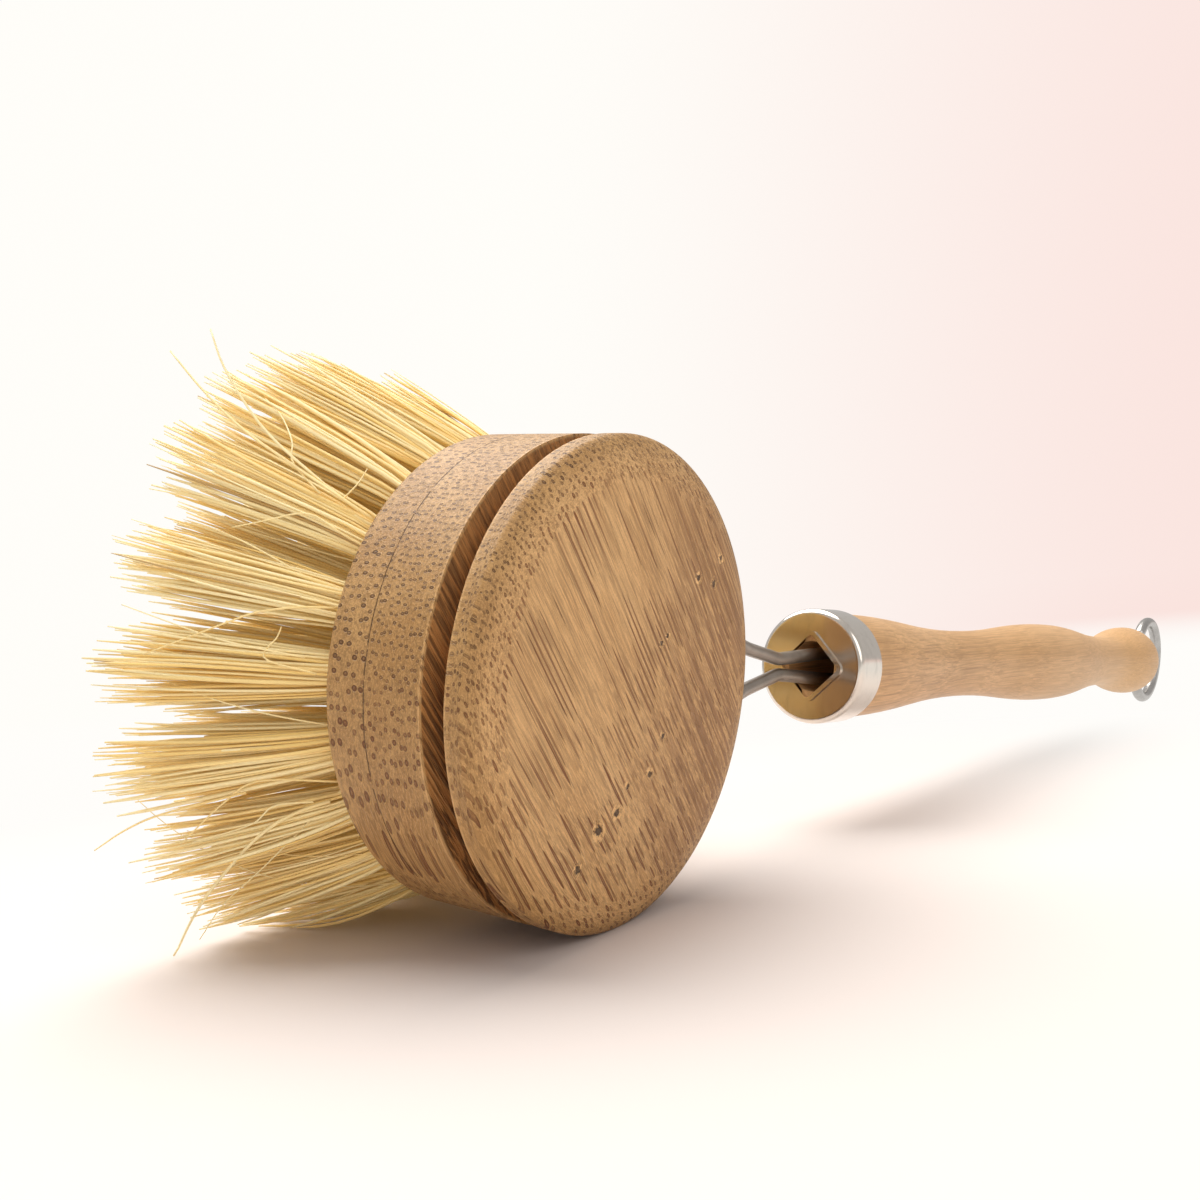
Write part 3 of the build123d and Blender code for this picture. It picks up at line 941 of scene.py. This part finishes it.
class DressFerrule(Operator):
    """Gives the ferrule its bright plating"""

    bl_idname = "dish_brush.dress_ferrule"
    bl_label = "Ferrule"

    def execute(self, context):
        dress_nodes(Plating(context.scene.dish_brush_metal), "ferrule")
        return {"FINISHED"}


class DressHandle(Operator):
    """Gives the handle its turned bamboo"""

    bl_idname = "dish_brush.dress_handle"
    bl_label = "Handle"

    def execute(self, context):
        dress_nodes(HandleBamboo(context.scene.dish_brush_handle), "handle_grip")
        return {"FINISHED"}


class DressHook(Operator):
    """Gives the hanging hook its plated wire"""

    bl_idname = "dish_brush.dress_hook"
    bl_label = "Hanging hook"

    def execute(self, context):
        tone = tuple(context.scene.dish_brush_metal.hook_tone)
        dress_nodes(DrawnWire("hook_plating", tone, roughness=0.22), "hanging_hook")
        return {"FINISHED"}


# ---- Stage

# The photograph's camera in the brush's directions: its place in millimetres, its right and its line of sight
CAMERA_PLACE = (-106.16, -72.66, 12.15)
CAMERA_RIGHT = (0.567, -0.8216, 0.0591)
CAMERA_SIGHT = (0.8237, 0.5663, -0.0305)
FRAME_WIDTH = 36.0

# The point that the lights look at, in the brush's millimetres
LIGHT_TARGET = (20, 10, 0)

# Soft lights: name, place from their target and size in metres, power and colour
LIGHTS = (
    ("top_light", (0.06, 0.24, 0.70), 0.95, 9.75, (1, 0.985, 0.95)),
    ("front_light", (-0.30, -0.65, 0.35), 0.60, 1.35, (1, 0.97, 0.94)),
)

CREAM = (1.0, 0.985, 0.945)
PINK = (0.955, 0.76, 0.72)
SKY_LIGHT = (1.0, 0.975, 0.95)
FLOOR_LIGHT = (1.0, 0.985, 0.955)
BLACK = (0, 0, 0)
FLOOR_REACH = 6.0


def place_camera(settings):
    data = bpy.data.cameras.new("camera")
    data.sensor_width, data.lens, data.clip_start, data.clip_end = FRAME_WIDTH, settings.lens, 0.005, 50.0
    camera = bpy.data.objects.new("camera", data)
    right, sight = (brush.towards(*direction).normalized() for direction in (CAMERA_RIGHT, CAMERA_SIGHT))
    right = (right - sight * right.dot(sight)).normalized()
    turn = Matrix((right, right.cross(sight), -sight)).transposed()
    camera.matrix_world = Matrix.Translation(brush.point(*CAMERA_PLACE)) @ turn.to_4x4()
    bpy.context.scene.collection.objects.link(camera)
    bpy.context.scene.camera = camera


def backdrop(shading, direction):
    """The pale background: cream at the left, faintly pink at the right."""
    level = shading.vector("NORMALIZE", direction, (0, 0, 0))
    return shading.mix(shading.dot(level, (0.80, -0.60, 0)).rise(0.25, 0.80), CREAM, PINK)


def light_sky(settings):
    """A world that is seen as the pale background, and lights and mirrors as a plain one."""
    world = bpy.data.worlds.new("pale_studio")
    bpy.context.scene.world = world
    world.use_nodes = True
    sky = Shading(world.node_tree)
    seen = sky.node("ShaderNodeLightPath", output="Is Camera Ray")
    mirrored = sky.node("ShaderNodeLightPath", output="Is Glossy Ray")
    shown = backdrop(sky, sky.node("ShaderNodeTexCoord", output="Generated"))
    shone = sky.mix(mirrored, shaded(SKY_LIGHT, settings.background), shaded(SKY_LIGHT, settings.gleam))
    light = sky.node("ShaderNodeBackground", None, {"Color": sky.mix(seen, shone, shown)})
    sky.node("ShaderNodeOutputWorld", None, {"Surface": light})


def lay_floor(settings):
    """A plain floor that takes the brush's shadow near it and fades into the background further away."""
    corners = [(x * FLOOR_REACH, y * FLOOR_REACH, 0) for x, y in ((-1, -1), (1, -1), (1, 1), (-1, 1))]
    mesh = bpy.data.meshes.new("floor")
    mesh.from_pydata(corners, [], [(0, 1, 2, 3)])
    floor = bpy.data.objects.new("floor", mesh)
    bpy.context.scene.collection.objects.link(floor)
    surface = Surface("pale_floor", Roughness=0.75, Specular_IOR_Level=0, Emission_Strength=1.0)
    from_head = surface.vector("SUBTRACT", surface.place, tuple(brush.origin))
    away = surface.vector("LENGTH", from_head, (0, 0, 0), "Value")
    far = away.rise(0.04, 0.185)
    glow = surface.mix(away.rise(0.40, 0.85), FLOOR_LIGHT, backdrop(surface, surface.place))
    surface.feed("Base Color", surface.mix(far, tuple(settings.floor_tone), BLACK))
    surface.feed("Emission Color", surface.mix(far, BLACK, glow))
    surface.dress(floor)


def hang_light(name, offset, size, power, colour):
    data = bpy.data.lights.new(name, "AREA")
    data.shape, data.size, data.energy, data.color = "DISK", size, power, colour
    lamp = bpy.data.objects.new(name, data)
    lamp.location = brush.point(*LIGHT_TARGET) + Vector(offset)
    lamp.rotation_euler = (-Vector(offset)).to_track_quat("-Z", "Y").to_euler()
    bpy.context.scene.collection.objects.link(lamp)


class SetStage(Operator):
    """Makes the camera, the soft light and the plain pale floor"""

    bl_idname = "dish_brush.set_stage"
    bl_label = "Stage"

    def execute(self, context):
        settings = context.scene.dish_brush_stage
        context.scene.view_settings.view_transform = "Standard"
        place_camera(settings)
        light_sky(settings)
        lay_floor(settings)
        for light in LIGHTS:
            hang_light(*light)
        return {"FINISHED"}


class DishBrushPanel(Panel):
    """Lists the operators and their settings in the 3D view's sidebar"""

    bl_idname = "VIEW3D_PT_dish_brush"
    bl_label = "Dish brush"
    bl_space_type = "VIEW_3D"
    bl_region_type = "UI"
    bl_category = "Dish brush"

    def draw(self, context):
        for operator in OPERATORS:
            self.layout.operator(operator.bl_idname)
        for settings in SETTINGS:
            group = getattr(context.scene, settings)
            for name in group.bl_rna.properties.keys():
                if name not in ("rna_type", "name"):
                    self.layout.prop(group, name)


SETTINGS = {
    "dish_brush_head": HeadSettings,
    "dish_brush_tufts": TuftSettings,
    "dish_brush_metal": MetalSettings,
    "dish_brush_handle": HandleSettings,
    "dish_brush_stage": StageSettings,
}
OPERATORS = (
    SetStage, DressBoards, GrowTufts, LoosenStrands, DressAnchors, DressClamp, DressFerrule, DressHandle,
    DressHook,
)


def register():
    for made in (*SETTINGS.values(), *OPERATORS, DishBrushPanel):
        bpy.utils.register_class(made)
    for name, settings in SETTINGS.items():
        setattr(bpy.types.Scene, name, PointerProperty(type=settings))


def unregister():
    for name in SETTINGS:
        delattr(bpy.types.Scene, name)
    for made in reversed((*SETTINGS.values(), *OPERATORS, DishBrushPanel)):
        bpy.utils.unregister_class(made)


def main():
    register()
    for operator in OPERATORS:
        group, name = operator.bl_idname.split(".")
        getattr(getattr(bpy.ops, group), name)()


if __name__ == "__main__":
    main()
